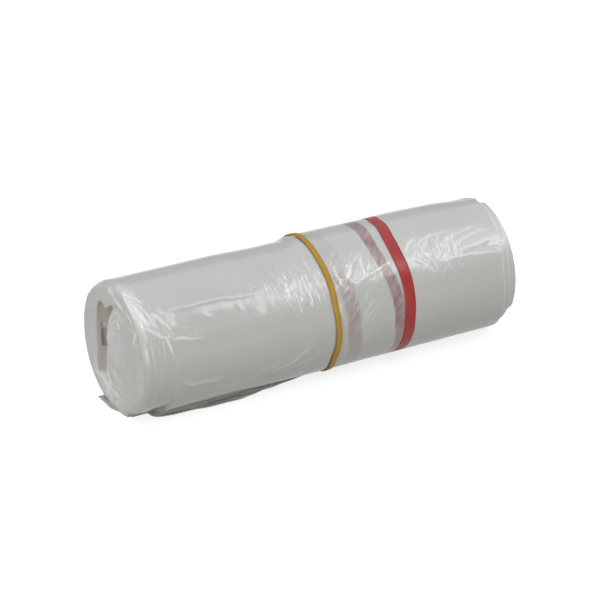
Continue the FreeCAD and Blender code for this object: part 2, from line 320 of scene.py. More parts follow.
# the radius of the outermost film at x and angle a
def wrapRadius(x, a):
    s = np.radians(a) * roll["radius"]
    radius = np.full_like(x, roll["radius"])
    # the top swells right of the stripe, and sinks left of the rubber band and at the right end
    top = ramp(a, 20, 60) * (1 - ramp(a, 130, 170))
    lower = 0.8 * ramp(x, -45, -20) * (1 - ramp(x, -7, -1))
    radius += top * (0.35 * bell(x, 55, 16) - lower) + hump(x, a)
    radius -= 1.1 * ramp(x, 74, 94) * ramp(a, 82, 105) * (1 - ramp(a, 135, 165))
    radius -= flatDrop(x, a)
    creased = smallCreases(x, s)[0]
    single = singleCreases(x, s)[0]
    radius += single + creased
    radius += 0.28 * gradientNoise(x / 44, s / 26, 41) * ramp(a, -60, -30)
    radius += 0.06 * gradientNoise(x / 13, s / 8, 42)
    # the rubber band pinches the film
    away = np.abs(x - roll["bandAt"] - bandShift(a))
    radius -= 0.7 * np.exp(-(away / 2.4) ** 2)
    pleats = ridges(s / 6.5 + 0.05 * x, x / 60, 51)
    radius += 0.3 * np.exp(-away / 6) * ramp(away, 0.5, 3.0) * pleats
    # the wrap stops at both ends, and the turns inside it stick out
    edge = leftEdge(roll["wrapLeft"], a, 1.0) + 2.0 * bell(a, -20, 35) - 2.0 * bell(a, 35, 20)
    inner = roll["innerLeft"] + 0.05 * gradientNoise(x / 5, s / 9, 63) - 2.0 * bell(a, -62, 26)
    inner += 0.5 * creased + 0.6 * single
    radius = inner + (radius - inner) * ramp(x, edge - 0.4, edge + 0.4)
    for at, height, wander in filmEdges:
        past = x - leftEdge(at, a, wander)
        radius += height * ramp(past, -0.15, 0.15) * np.exp(-np.clip(past, 0, 50) / 2.4)
    edge = rightEdge(a)
    inner = roll["innerRight"] - 1.6 * ramp(a, 82, 92) - 1.5 * ramp(-a, 20, 32)
    inner = inner - 0.25 * ramp(x, edge + 3.0, edge + 3.4)
    radius = inner + (radius - inner) * (1 - ramp(x, edge - 0.3, edge + 0.3))
    return radius


# how far the film is shifted along the roll, so that the stripe isn't a perfect circle
def slip(x, a):
    low = np.where(a > 200, 360 - a, -a)
    shift = 0.4 + 1.8 * ramp(a, 66, 92) - 0.9 * bell(a, 52, 16) + 2.0 * ramp(a, 90, 112)
    shift *= 1 - ramp(a, 130, 200)
    shift += (1.2 * ramp(low, 5, 40) + 0.9 * ramp(low, 38, 60)) * (1 - ramp(low, 100, 150))
    shift += 0.3 * gradientNoise(a / 30, a * 0, 65)
    return shift * np.exp(-((x - 38) / 12) ** 2)


# Meshes

def readPoints(mesh):
    points = np.zeros(len(mesh.vertices) * 3, np.float32)
    mesh.vertices.foreach_get("co", points)
    return points.reshape(-1, 3).astype(float)


def writePoints(mesh, x, y, z):
    points = np.stack([x, y, z], axis=1).astype(np.float32) * mm
    mesh.vertices.foreach_set("co", points.ravel())
    mesh.update()


# keeps a number per vertex, which a material reads
def paint(mesh, name, values):
    layer = mesh.attributes.new(name, "FLOAT", "POINT")
    layer.data.foreach_set("value", values.astype(np.float32))


# keeps the place on the unrolled film per vertex, for patterns that follow the surface
def paintUnrolled(mesh, u, v):
    layer = mesh.attributes.new("unrolled", "FLOAT_VECTOR", "POINT")
    values = np.stack([u, v, v * 0], axis=1).astype(np.float32) * mm
    layer.data.foreach_set("vector", values.ravel())


# spins a profile of (x, radius) points once round the X axis
def spunProfile(profile, steps, closed):
    bm = bmesh.new()
    verts = [bm.verts.new((x, -r, 0)) for x, r in profile]
    edges = [bm.edges.new(pair) for pair in zip(verts, verts[1:])]
    if closed:
        edges.append(bm.edges.new((verts[-1], verts[0])))
    bmesh.ops.spin(bm, geom=verts + edges, cent=(0, 0, 0), axis=(1, 0, 0), dvec=(0, 0, 0),
                   angle=2 * math.pi, steps=steps, use_merge=True, use_duplicate=False)
    bmesh.ops.remove_doubles(bm, verts=bm.verts, dist=1e-5)
    bmesh.ops.recalc_face_normals(bm, faces=bm.faces)
    return bm


def makePiece(name, bm, material):
    mesh = bpy.data.meshes.new(name)
    bm.to_mesh(mesh)
    bm.free()
    piece = bpy.data.objects.new(name, mesh)
    bpy.context.scene.collection.objects.link(piece)
    mesh.materials.append(material)
    mesh.polygons.foreach_set("use_smooth", [True] * len(mesh.polygons))
    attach(piece, "root")
    return piece


# x, radius and angle of every vertex of a spun piece, with the angle from -90 to 270
def rollPlace(points):
    rad = np.arctan2(points[:, 2], -points[:, 1])
    return points[:, 0], np.hypot(points[:, 1], points[:, 2]), (np.degrees(rad) + 90) % 360 - 90


# moves mesh lines towards the part of the roll that is most creased
def denserInFront(a):
    return a - math.degrees(0.34) * np.sin(np.radians(a - 30))


def spaced(low, high, count):
    return [low + (high - low) * k / (count - 1) for k in range(count)]


# Materials

# adds a node, sets its fields (lower case) and sockets, and links other nodes' outputs to it
def addNode(material, kind, settings=None, links=None):
    node = material.node_tree.nodes.new(kind)
    for key, value in (settings or {}).items():
        if isinstance(key, str) and key[0].islower():
            setattr(node, key, value)
        else:
            node.inputs[key].default_value = value
    for key, source in (links or {}).items():
        material.node_tree.links.new(source, node.inputs[key])
    return node


def newMaterial(name):
    material = bpy.data.materials.new(name)
    material.use_nodes = True
    material.node_tree.nodes.clear()
    return material


def finishMaterial(material, shader):
    addNode(material, "ShaderNodeOutputMaterial", links={"Surface": shader.outputs[0]})
    return material


# Low-density polyethylene film, blown and wound many times on itself: milky light grey, with the
# wet gloss of its outermost ply. Pink copies of the stripe show through from the plies below.
def woundFilm():
    material = newMaterial("woundPolyFilm")
    place = addNode(material, "ShaderNodeTexCoord")
    cloud = addNode(material, "ShaderNodeTexNoise",
                    {"Scale": 1 / (26 * mm), "Detail": 3.0, "Roughness": 0.5},
                    {"Vector": place.outputs["Object"]})
    tint = addNode(material, "ShaderNodeMix",
                   {"data_type": "RGBA", 6: srgb("#B2B3AF"), 7: srgb("#BDBEBB")},
                   {0: cloud.outputs["Fac"]})
    ghost = addNode(material, "ShaderNodeAttribute", {"attribute_name": "ghost"})
    pink = addNode(material, "ShaderNodeMix", {"data_type": "RGBA", 7: srgb("#8E6E6F")},
                   {0: ghost.outputs["Fac"], 6: tint.outputs[2]})
    # painted light: inside the gap, faintly on the ends' faces and along the groove round the coil, the
    # film is painted a lighter cream, for the light that the milky film lets in
    paintedCreamLight = addNode(material, "ShaderNodeAttribute", {"attribute_name": "paintedCreamLight"})
    deep = addNode(material, "ShaderNodeMix", {"data_type": "RGBA", 7: srgb("#E2D8CE")},
                   {0: paintedCreamLight.outputs["Fac"], 6: pink.outputs[2]})
    # fine creases 1.3 mm apart: they run round the roll on its left, and slant on its right
    unrolled = addNode(material, "ShaderNodeAttribute", {"attribute_name": "unrolled"})
    grain = []
    for lean in (97, 52):
        turned = addNode(material, "ShaderNodeMapping",
                         {"vector_type": "TEXTURE", "Rotation": (0, 0, math.radians(lean)),
                          "Scale": (4.0, 1.0, 1.0)},
                         {"Vector": unrolled.outputs["Vector"]})
        grain.append(addNode(material, "ShaderNodeTexNoise",
                             {"Scale": 1 / (1.3 * mm), "Detail": 2.5, "Roughness": 0.55,
                              "Distortion": 0.6},
                             {"Vector": turned.outputs["Vector"]}))
    slant = addNode(material, "ShaderNodeAttribute", {"attribute_name": "slant"})
    creased = addNode(material, "ShaderNodeMix", {"data_type": "FLOAT"},
                      {0: slant.outputs["Fac"], 2: grain[0].outputs["Fac"], 3: grain[1].outputs["Fac"]})
    crinkle = addNode(material, "ShaderNodeAttribute", {"attribute_name": "crinkle"})
    # the sharpest of them are painted white, as painted glints
    sharp = addNode(material, "ShaderNodeMapRange", {"From Min": 0.56, "From Max": 0.66},
                    {"Value": creased.outputs[0]})
    broken = addNode(material, "ShaderNodeMath", {"operation": "MULTIPLY"},
                     {0: sharp.outputs[0], 1: crinkle.outputs["Fac"]})
    # painted paler where the film is creased or cut: partly its own whitening, partly painted highlights,
    # sheen and light
    hazeAndPaintedLight = addNode(material, "ShaderNodeAttribute", {"attribute_name": "hazeAndPaintedLight"})
    white = addNode(material, "ShaderNodeMath",
                    {"operation": "MULTIPLY_ADD", "use_clamp": True, 1: 0.85},
                    {0: broken.outputs[0], 2: hazeAndPaintedLight.outputs["Fac"]})
    pale = addNode(material, "ShaderNodeMix", {"data_type": "RGBA", 7: srgb("#E9EBE9")},
                   {0: white.outputs[0], 6: deep.outputs[2]})
    strength = addNode(material, "ShaderNodeMath", {"operation": "MULTIPLY", 1: 0.8},
                       {0: crinkle.outputs["Fac"]})
    relief = addNode(material, "ShaderNodeBump", {"Distance": 0.22 * mm},
                     {"Height": creased.outputs[0], "Strength": strength.outputs[0]})
    # the film has no gloss deep in the gap
    gloss = addNode(material, "ShaderNodeMath", {"operation": "MULTIPLY_ADD", 1: -0.9, 2: 0.9},
                    {0: paintedCreamLight.outputs["Fac"]})
    shader = addNode(material, "ShaderNodeBsdfPrincipled",
                     {"Roughness": 0.55, "IOR": 1.45, "Specular IOR Level": 0.3,
                      "Subsurface Weight": 0.2, "Subsurface Radius": (1.0, 0.9, 0.8),
                      "Subsurface Scale": 4 * mm, "Coat Roughness": 0.11, "Coat IOR": 1.5},
                     {"Base Color": pale.outputs[2], "Normal": relief.outputs[0],
                      "Coat Weight": gloss.outputs[0], "Coat Normal": relief.outputs[0]})
    return finishMaterial(material, shader)


# A few loose plies of the same film, blown and cut: see-through, with a sharp gloss.
def looseFilm(name, tones, alpha):
    material = newMaterial(name)
    place = addNode(material, "ShaderNodeTexCoord")
    turned = addNode(material, "ShaderNodeMapping", {"Scale": (0.2, 1.0, 1.0)},
                     {"Vector": place.outputs["Object"]})
    streak = addNode(material, "ShaderNodeTexNoise",
                     {"Scale": 1 / (2.2 * mm), "Detail": 3.0, "Roughness": 0.6},
                     {"Vector": turned.outputs["Vector"]})
    relief = addNode(material, "ShaderNodeBump", {"Distance": 0.25 * mm, "Strength": 0.4},
                     {"Height": streak.outputs["Fac"]})
    tint = addNode(material, "ShaderNodeMix",
                   {"data_type": "RGBA", 6: srgb(tones[0]), 7: srgb(tones[1])},
                   {0: streak.outputs["Fac"]})
    shader = addNode(material, "ShaderNodeBsdfPrincipled",
                     {"Roughness": 0.3, "IOR": 1.5, "Alpha": alpha, "Coat Weight": 0.6,
                      "Coat Roughness": 0.08},
                     {"Base Color": tint.outputs[2], "Normal": relief.outputs[0]})
    return finishMaterial(material, shader)


# Red ink printed in the outermost ply, seen under its gloss: a strong red, mottled where the
# film below it is creased.
def filmInk():
    material = newMaterial("redInkUnderFilm")
    place = addNode(material, "ShaderNodeTexCoord")
    cloud = addNode(material, "ShaderNodeTexNoise",
                    {"Scale": 1 / (5 * mm), "Detail": 3.0, "Roughness": 0.6},
                    {"Vector": place.outputs["Object"]})
    tint = addNode(material, "ShaderNodeMix",
                   {"data_type": "RGBA", 6: srgb("#932225"), 7: srgb("#AA3532")},
                   {0: cloud.outputs["Fac"]})
    creases = addNode(material, "ShaderNodeTexNoise",
                      {"Scale": 1 / (2.5 * mm), "Detail": 3.0, "Distortion": 0.6},
                      {"Vector": place.outputs["Object"]})
    relief = addNode(material, "ShaderNodeBump", {"Distance": 0.2 * mm, "Strength": 0.5},
                     {"Height": creases.outputs["Fac"]})
    shader = addNode(material, "ShaderNodeBsdfPrincipled",
                     {"Roughness": 0.55, "IOR": 1.45, "Specular IOR Level": 0.3,
                      "Coat Weight": 0.4, "Coat Roughness": 0.22, "Coat IOR": 1.5},
                     {"Base Color": tint.outputs[2], "Normal": relief.outputs[0],
                      "Coat Normal": relief.outputs[0]})
    return finishMaterial(material, shader)


# Natural rubber, vulcanised as a tube and cut to bands: matt mustard yellow, a little uneven.
def cutRubber():
    material = newMaterial("mustardRubber")
    place = addNode(material, "ShaderNodeTexCoord")
    cloud = addNode(material, "ShaderNodeTexNoise",
                    {"Scale": 1 / (5 * mm), "Detail": 4.0, "Roughness": 0.6},
                    {"Vector": place.outputs["Object"]})
    tint = addNode(material, "ShaderNodeMix",
                   {"data_type": "RGBA", 6: srgb("#946C08"), 7: srgb("#BC921C")},
                   {0: cloud.outputs["Fac"]})
    marks = addNode(material, "ShaderNodeTexNoise",
                    {"Scale": 1 / (0.6 * mm), "Detail": 2.0},
                    {"Vector": place.outputs["Object"]})
    relief = addNode(material, "ShaderNodeBump", {"Distance": 0.05 * mm, "Strength": 0.4},
                     {"Height": marks.outputs["Fac"]})
    shader = addNode(material, "ShaderNodeBsdfPrincipled",
                     {"Roughness": 0.5, "IOR": 1.52},
                     {"Base Color": tint.outputs[2], "Normal": relief.outputs[0]})
    return finishMaterial(material, shader)


filmMaterial = woundFilm()
inkMaterial = filmInk()
# painted shade: the slack fold under the roll's overhang is tinted much darker than the wound film, with
# paler streaks along the roll
shadedFlapMaterial = looseFilm("slackPolyFilmShaded", ("#70716E", "#D6D7D4"), 0.92)
tailMaterial = looseFilm("loosePolyFilm", ("#9FA09D", "#BDBEBC"), 0.88)
rubberMaterial = cutRubber()
print("stage: materials ready")


# The wound turns, with a hollow at both ends that the innermost turns fill in part

turns = {
    "left": (-98, -77, 0.42),          # mesh lines along the roll: from, to, spacing
    "middle": (-77, -34, 0.95),
    "right": (-34, 86, 0.78),
    "rightEnd": (86, 98, 0.4),
    "rimLeft": 4.4,                    # how far the film edges curl over at the ends, at most
    "rimRight": 0.9,
    "gapAt": (13.0, 31.0),             # middle of the air gap, rear of the axis and above the floor
    "gapDepth": 11.0,
    "inner": 10.0,                     # the gap's radius before it is shaped
    "faceStart": 1.2,                  # the left end's flat face starts this far outside it
    "turnSpacing": 1.9,                # between the rings that show on the ends
}

# how far the left end's film edges curl over, by angle: the front is sharp, the top is soft
rimShape = [(-90, 3.6), (-30, 3.4), (0, 1.8), (15, 1.1), (55, 1.1), (78, 3.4), (98, 4.4), (120, 3.8),
            (145, 1.8), (215, 1.6), (245, 2.8), (270, 3.6)]

# corners of the air gap, rear of the axis and above the floor
gapCorners = [(14.8, 13.0), (18.2, 13.5), (18.6, 25.0), (18.4, 36.0), (17.2, 45.5), (15.2, 48.7),
              (11.3, 49.4), (8.4, 46.8), (4.4, 51.6), (2.6, 50.4), (6.2, 46.2), (8.4, 40.8),
              (9.1, 32.0), (9.1, 25.0), (10.9, 15.2)]

# the innermost turns, a flattened coil that fills the rest of the hollow
coil = {"at": (-2.8, 34.5), "size": (11.4, 15.8), "spacing": 3.0}


# distance from the gap's middle to its outline, with the corners rounded over 6 degrees
def gapRadius(a):
    total = np.zeros_like(a)
    y, z = turns["gapAt"]
    for off in (-3, -1.5, 0, 1.5, 3):
        dy = -np.cos(np.radians(a + off))
        dz = np.sin(np.radians(a + off))
        found = np.zeros_like(a)
        for (y0, z0), (y1, z1) in zip(gapCorners, gapCorners[1:] + gapCorners[:1]):
            cross = dy * (z1 - z0) - dz * (y1 - y0)
            cross = np.where(np.abs(cross) < 1e-6, 1e-6, cross)
            reach = ((y0 - y) * (z1 - z0) - (z0 - z) * (y1 - y0)) / cross
            share = ((y0 - y) * dz - (z0 - z) * dy) / cross
            hit = (share >= 0) & (share <= 1) & (reach > 0)
            found = np.maximum(found, np.where(hit, reach, 0))
        total += found / 5
    return total


# where the wrap's mesh lines lie along the roll
def linesAlong():
    half = roll["half"]
    lines = []
    for name in ("left", "middle", "right", "rightEnd"):
        start, end, step = turns[name]
        start = max(start, -half + turns["rimLeft"])
        end = min(end, half - turns["rimRight"])
        lines += spaced(start, end, int((end - start) / step) + 1)[:-1]
    return lines + [half - turns["rimRight"]]


# the roll's outline as (x, radius) points, from the left pocket's floor to the right one's
def turnsProfile():
    half = roll["half"]
    outer = roll["radius"]
    left = turns["rimLeft"]
    right = turns["rimRight"]
    inner = turns["inner"]
    floor = half - turns["gapDepth"]
    low, high = roll["stripe"]
    wall = 0.02                        # half the width of the steep walls beside the stripe
    points = [(-floor, 0.0), (-floor, 4.0), (-floor, 7.0), (-floor, inner)]
    points += [(x, inner) for x in (-half + 8, -half + 5.5, -half + 3.6, -half + 2.2)]
    points += [(-half + 1.1, inner + 0.15), (-half + 0.4, inner + 0.5)]
    # the left end's face and its curled edge
    points += [(-half, r) for r in spaced(inner + turns["faceStart"], outer - left, 28)]
    for k in range(1, 6):
        turn = math.radians(180 - 15 * k)
        points.append((-half + left + left * math.cos(turn), outer - left + left * math.sin(turn)))
    # the wrap, with the groove that the stripe fills
    edges = [(low - wall, 0), (low + wall, 1), (high - wall, 1), (high + wall, 0)]
    lines = [(x, 0) for x in linesAlong() if min(abs(x - low), abs(x - high)) > 0.2]
    lines = [(x, 1 if low < x < high else 0) for x, sunk in lines]
    points += [(x, outer - sunk * roll["inkDepth"]) for x, sunk in sorted(lines + edges)]
    # the right end's edge, face and pocket
    for k in range(1, 5):
        turn = math.radians(90 - 22.5 * k)
        points.append((half - right + right * math.cos(turn), outer - right + right * math.sin(turn)))
    points += [(half, r) for r in spaced(outer - right - 0.8, inner + 1.0, 12)]
    points += [(half - 0.6, inner + 0.2), (half - 2.0, inner), (half - 5.0, inner), (floor, inner)]
    points += [(floor, 5.0), (floor, 0.0)]
    return points


# where the stripes of the plies below show through: one beside the stripe, a fainter one beside
# the rubber band, both further to the right low down
def ghostStripes(x, a):
    first = 28.0 + 4.6 * ramp(-a, -65, 5) + 2.0 * ramp(-a, 0, 40)
    second = 5.6 + 2.6 * ramp(-a, -50, 0) + 2.0 * ramp(-a, 0, 30)
    one = ramp(x, first - 3.1, first - 2.4) * (1 - ramp(x, first + 2.4, first + 3.1))
    two = ramp(x, second - 4.4, second - 2.4) * (1 - ramp(x, second + 2.4, second + 5.0))
    lean = x * 0.77 - np.radians(a) * roll["radius"] * 0.64
    patchy = 0.82 + 0.22 * gradientNoise(x / 4, a / 12, 66) + 0.25 * gradientNoise(lean / 1.6, x / 9, 74)
    one *= 1.05 - 0.2 * ramp(-a, 0, 25)
    return (one + 0.65 * two * (1 - 0.7 * ramp(a, 25, 60)) * (1 - 0.5 * ramp(-a, 0, 30))) * patchy


# gives the left end's curled edge its size at each angle
def reshapeRim(x, plain, a):
    half = roll["half"]
    outer = roll["radius"]
    full = turns["rimLeft"]
    rim = np.interp(a, [p[0] for p in rimShape], [p[1] for p in rimShape])
    start = turns["left"][1]
    onCurl = (x < -half + full - 0.001) & (plain > outer - full - 0.001)
    onFace = (x < -half + 0.001) & (plain <= outer - full + 0.001)
    onSide = (x >= -half + full - 0.001) & (x < start)
    faceStart = turns["inner"] + turns["faceStart"]
    curlX = -half + (x + half) * rim / full
    curlR = outer - (outer - plain) * rim / full
    faceR = faceStart + (plain - faceStart) * (outer - rim - faceStart) / (outer - full - faceStart)
    sideX = start + (x - start) * (start + half - rim) / (start + half - full)
    plain = np.where(onCurl, curlR, np.where(onFace & (plain > faceStart), faceR, plain))
    return np.where(onCurl, curlX, np.where(onSide, sideX, x)), plain


# creased edges on the left end, raised a little and painted pale as painted glints: y and height over the
# floor at both ends, half width
endGlints = [
    (4, 59.5, -1.5, 57.5, 1.6), (-1.5, 57.5, -10.5, 53.5, 1.2), (-13, 54, -21, 51.5, 0.9),
    (-22.5, 50, -20, 41.5, 1.1), (14, 11.5, 6, 7, 1.2), (19, 12, 14, 10, 1.0), (11, 9, 9, 4, 0.8),
    (-4, 47.5, -6.5, 43, 0.8), (16, 49.6, 9.5, 48.6, 0.5), (8, 17, 4, 8, 0.8),
]


def strokesOnEnd(y, z, strokes):
    total = np.zeros_like(y)
    for y0, z0, y1, z1, width in strokes:
        length = math.hypot(y1 - y0, z1 - z0)
        uy = (y1 - y0) / length
        uz = (z1 - z0) / length
        along = (y - y0) * uy + (z - z0) * uz
        across = np.abs(-(y - y0) * uz + (z - z0) * uy)
        taper = ramp(along, -1, 0.2 * length) * (1 - ramp(along, 0.8 * length, length + 1))
        total = np.maximum(total, taper * np.clip(1 - across / (1.5 * width), 0, 1))
    return total


# how deep the innermost turns' end is dented at y and z
def coilDents(y, z):
    rear, height = coil["at"]
    wide, high = coil["size"]
    ey = (y - rear) / wide
    ez = (z - height) / high
    out = np.hypot(ey, ez)
    angle = np.degrees(np.arctan2(ez, ey))
    wander = 0.45 * gradientNoise(angle / 40, out * 3, 80)
    wind = (out * high / coil["spacing"] - angle / 360 + wander) % 1.0
    patchy = ramp(gradientNoise(y / 7, z / 7, 83), -0.25, 0.3)
    turn = 0.45 * wind * patchy * (1 - ramp(out, 0.9, 1.0))
    # the groove over its top and under its foot, where it leaves the turns round it
    groove = 2.2 * bell(out, 1.05, 0.09) * (bell(angle, 78, 42) + 0.5 * bell(angle, -75, 26))
    groove += 0.5 * bell(out, 1.04, 0.07) * bell(angle + 360 * (angle < 0), 190, 50)
    return turn, groove


def makeTurns():
    bm = spunProfile(turnsProfile(), roll["steps"], closed=False)
    piece = makePiece("filmTurns", bm, filmMaterial)
    mesh = piece.data
    x, plain, a = rollPlace(readPoints(mesh))
    a = denserInFront(a)
    x, plain = reshapeRim(x, plain, a)
    half = roll["half"]
    outer = roll["radius"]
    inner = turns["inner"]
    rear, height = turns["gapAt"]
    share = np.clip((outer - plain) / (outer - inner), 0, 1)
    skin = 1 - ramp(share, 0.2, 0.45)  # how much a point belongs to the outer surface
    radius = plain + (wrapRadius(x, a) - outer) * skin
    rad = np.radians(a)
    # the outer surface, and the gap's wall, and the points between them
    outerY = -(outer + (radius - plain)) * np.cos(rad)
    outerZ = roll["axis"] + (outer + (radius - plain)) * np.sin(rad)
    wall = gapRadius(a)
    wall -= 0.3 * gradientNoise(wall * np.sin(rad) / 5, np.abs(x) / 7, 67)
    wallY = rear - wall * np.cos(rad)
    wallZ = height + wall * np.sin(rad)
    pole = np.clip(plain / inner, 0, 1)
    inGap = plain < inner - 0.01
    y = np.where(inGap, rear + (wallY - rear) * pole, outerY + (wallY - outerY) * share)
    z = np.where(inGap, height + (wallZ - height) * pole, outerZ + (wallZ - outerZ) * share)
    # the ends: rings of cut film edges round the coil, crumpled low down at the left end
    atLeft = x < 0
    onEnd = ramp(np.abs(x), half - 5, half - 1) * ramp(share, 0.03, 0.09) * (plain > inner - 0.01)
    thick = np.hypot(outerY - wallY, outerZ - wallZ)
    deep = share * thick
    ringed = (1 - ramp(deep, 8, 12)) * (0.25 + 0.75 * bell(a, -10, 60))
    wind = (deep / turns["turnSpacing"] + a / 360 + 0.3 * gradientNoise(a / 22, x * 0, 68)) % 1
    low = bell(y, 3, 13) * bell(z, 8, 8)
    crumple = (0.9 * ridges(y / 5, z / 4.5, 69) + 0.6 * gradientNoise(y / 1.8, z / 2.0, 70)) * low
    mottled = bell(deep, 5, 4) * bell(a, 45, 50)
    coilTurn, groove = coilDents(y, z)
    dents = 0.4 * wind * ringed + coilTurn + groove + np.clip(0.9 * crumple + 0.4, 0, 2.5) * low
    dents += 0.35 * gradientNoise(y / 7, z / 7, 71) + 0.3
    dents += (0.12 + 0.35 * mottled) * gradientNoise(y / 1.7, z / 2.4, 73)
    glints = strokesOnEnd(y, z, endGlints) * atLeft * onEnd
    dents = np.clip(dents - 0.5 * glints, 0, 3) * onEnd
    moved = np.clip(x + slip(x, a), -half, half) - np.sign(x) * dents
    writePoints(mesh, moved, y, np.maximum(z, 0.0))
    # what the material reads
    pinkEnd = 0.5 * bell(y, 5, 3.5) * bell(z, 13, 4.5) + 0.14 * bell(z, 8, 8)
    pinkEnd += 0.5 * bell(y, -0.8, 2) * bell(z, 36.5, 4)
    paint(mesh, "ghost", ghostStripes(x, a) * skin * (1 - onEnd) + pinkEnd * onEnd * atLeft)
    # painted light: the gap's walls and floor, both ends' faces a little and the groove round the coil take
    # the lighter cream tone and lose their gloss
    inside = ramp(share, 0.97, 1.0) * (1 - onEnd)
    paint(mesh, "paintedCreamLight", np.clip(inside + inGap + (0.1 + 0.5 * groove) * onEnd, 0, 1))
    crinkle = (creasedShare(x, a) + 0.04) * skin * (1 - onEnd) + 0.12 * onEnd
    paint(mesh, "crinkle", crinkle * (1 - ramp(share, 0.75, 0.95)))
    paint(mesh, "slant", ramp(x, -2, 6))
    # paler film: the whitening of creases and cut edges, with painted sheen and painted highlights where
    # the key light falls, and painted light on the ends' faces and on the gap's floor
    edge = rightEdge(a)
    hazeAndPaintedLight = filmHazeAndSheen(x, a) + bell(x, edge + 0.1, 0.4) * (0.25 + 0.4 * bell(a, 45, 30))
    hazeAndPaintedLight += bell(x, edge + 3.2, 0.4) * (0.2 + 0.3 * bell(a, 40, 30))
    for at, over, wander in filmEdges:
        broken = ramp(gradientNoise(a / 14, x * 0 + at, 72), -0.2, 0.4)
        hazeAndPaintedLight += bell(x, leftEdge(at, a, wander) + 0.1, 0.35) * broken * (0.1 + 0.7 * bell(a, 55, 28))
    hazeAndPaintedLight += 0.3 * bell(x, -95, 3) * bell(a, 58, 24) + 0.2 * ramp(x, edge, half) * bell(a, 52, 26)
    # on the ends' faces: painted glints along the left end's creased edges, paler rings, mottling, crumpled
    # foot and coil, and a little painted light over the whole face
    blotch = np.clip(gradientNoise(y / 1.5, z / 2.2, 75) + 0.15, 0, 1)
    onFace = 0.06 + 0.9 * glints + 0.2 * ringed * wind ** 3 + (0.5 * mottled + 0.5 * low) * blotch
    onFace += 0.4 * low + 0.42 * bell(y, 1, 9) * bell(z, 36, 13)
    onFace += 0.3 * bell(y, 17, 7) * bell(z, 14, 8)
    # painted highlights: pale streaks along the left end's curled rim
    rimStreaks = np.clip(gradientNoise(x / 0.8, a / 26, 76) + 0.1, 0, 1)
    hazeAndPaintedLight += 0.7 * rimStreaks * bell(x, -96, 2.6) * bell(a, 48, 34)
    paint(mesh, "hazeAndPaintedLight", np.clip(hazeAndPaintedLight * skin * (1 - onEnd) + onFace * onEnd + 0.9 * inGap, 0, 1))
    unrolledX = x + np.sign(x) * deep * onEnd
    paintUnrolled(mesh, np.where(inGap, y, unrolledX), np.where(inGap, z, rad * outer))
    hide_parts("bag_roll")
    return piece


# the stripe is a thin ring that fills the groove in the wrap, flush with the film
def makeStripe():
    low, high = roll["stripe"]
    lines = [x for x in linesAlong() if low + 0.2 < x < high - 0.2]
    lines = [low] + lines + [high]
    outer = roll["radius"]
    thin = roll["inkDepth"] - 0.02
    profile = [(x, outer) for x in lines] + [(x, outer - thin) for x in lines[::-1]]
    bm = spunProfile(profile, roll["steps"], closed=True)
    piece = makePiece("redStripe", bm, inkMaterial)
    x, plain, a = rollPlace(readPoints(piece.data))
    a = denserInFront(a)
    radius = plain + wrapRadius(x, a) - outer
    y = -radius * np.cos(np.radians(a))
    z = np.maximum(roll["axis"] + radius * np.sin(np.radians(a)), (outer - plain) * 0.9)
    writePoints(piece.data, x + slip(x, a), y, z)
    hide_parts("red_stripe")
    return piece


filmTurns = makeTurns()
redStripe = makeStripe()
print("stage: turns and stripe", len(filmTurns.data.polygons), len(redStripe.data.polygons))


# The rubber band

band = {
    "thick": 1.25,
    "wide": 2.9,
    "sunk": 0.55,                      # how deep it presses into the film
    "plain": 30.0,                     # radius that it is spun at before it is laid on the film
    "steps": 220,
}


def makeBand():
    profile = []
    for k in range(12):
        turn = 2 * math.pi * k / 12
        square = min(1 / max(abs(math.cos(turn)), abs(math.sin(turn))), 1.25)
        swell = (0.5 + 0.5 * square) * 0.93
        profile.append((math.cos(turn) * swell * band["wide"] / 2,
                        band["plain"] + math.sin(turn) * swell * band["thick"] / 2))
    bm = spunProfile(profile, band["steps"], closed=True)
    piece = makePiece("rubberBand", bm, rubberMaterial)
    x, plain, a = rollPlace(readPoints(piece.data))
    over = plain - band["plain"]
    shift = bandShift(a)
    radius = roll["radius"] - band["sunk"] + band["thick"] / 2 + over
    radius += hump(roll["bandAt"] + shift, a) + 0.1 * bell(a, 105, 25)
    radius += 0.1 * gradientNoise(a / 16, a * 0, 102)
    y = -radius * np.cos(np.radians(a))
    z = roll["axis"] + radius * np.sin(np.radians(a))
    z = np.maximum(z, 0.4 + over * 0.6)          # pressed flat under the roll
    writePoints(piece.data, x + roll["bandAt"] + shift, y, z)
    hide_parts("rubber_band")


makeBand()
print("stage: rubber band")


# Slack film on the floor: a fold in front of the left half, and the loose end behind the roll

# x, y of the fold's outer edge
slackEdge = [(-87, -9), (-86.8, -13), (-85, -15.2), (-82, -16.5), (-78.4, -17.3), (-74.5, -17.5),
             (-69.4, -17.5), (-62.2, -18.3), (-57.4, -18.8), (-52.3, -19.0), (-47.2, -19.1), (-41.6, -18.5),
             (-36, -17.7), (-30.5, -16.3), (-21.5, -15.2), (-15.7, -14.4), (-9.4, -12.8), (-3.9, -12.3),
             (-1.8, -10)]

slack = {"root": -7.0, "across": 18, "along": 170, "thin": 0.22, "rise": 1.5}
# the loose end reaches back to "left" and "right", and its left edge is cut at a slant
tail = {"left": 15.6, "right": 11.8, "root": 6.0, "across": 14, "along": 150, "thin": 0.25, "rise": 0.5,
        "inset": 9.0, "slantEnd": 0.06, "slantBack": 13, "slantIn": 2.8}


# a flat grid, to be moved into place and given a thickness
def sheetGrid(along, across):
    bm = bmesh.new()
    bmesh.ops.create_grid(bm, x_segments=along, y_segments=across, size=1)
    return bm


def thicken(bm, thickness):
    bmesh.ops.recalc_face_normals(bm, faces=bm.faces)
    bmesh.ops.solidify(bm, geom=bm.faces[:], thickness=thickness * mm)
    bmesh.ops.recalc_face_normals(bm, faces=bm.faces)


# the place of a grid's vertices along and across it, from 0 to 1
def gridPlace(bm):
    places = np.array([vert.co[:2] for vert in bm.verts]) * 0.5 + 0.5
    return places[:, 0], places[:, 1]


def placeGrid(bm, x, y, z):
    for vert, px, py, pz in zip(bm.verts, x, y, z):
        vert.co = (px * mm, py * mm, pz * mm)


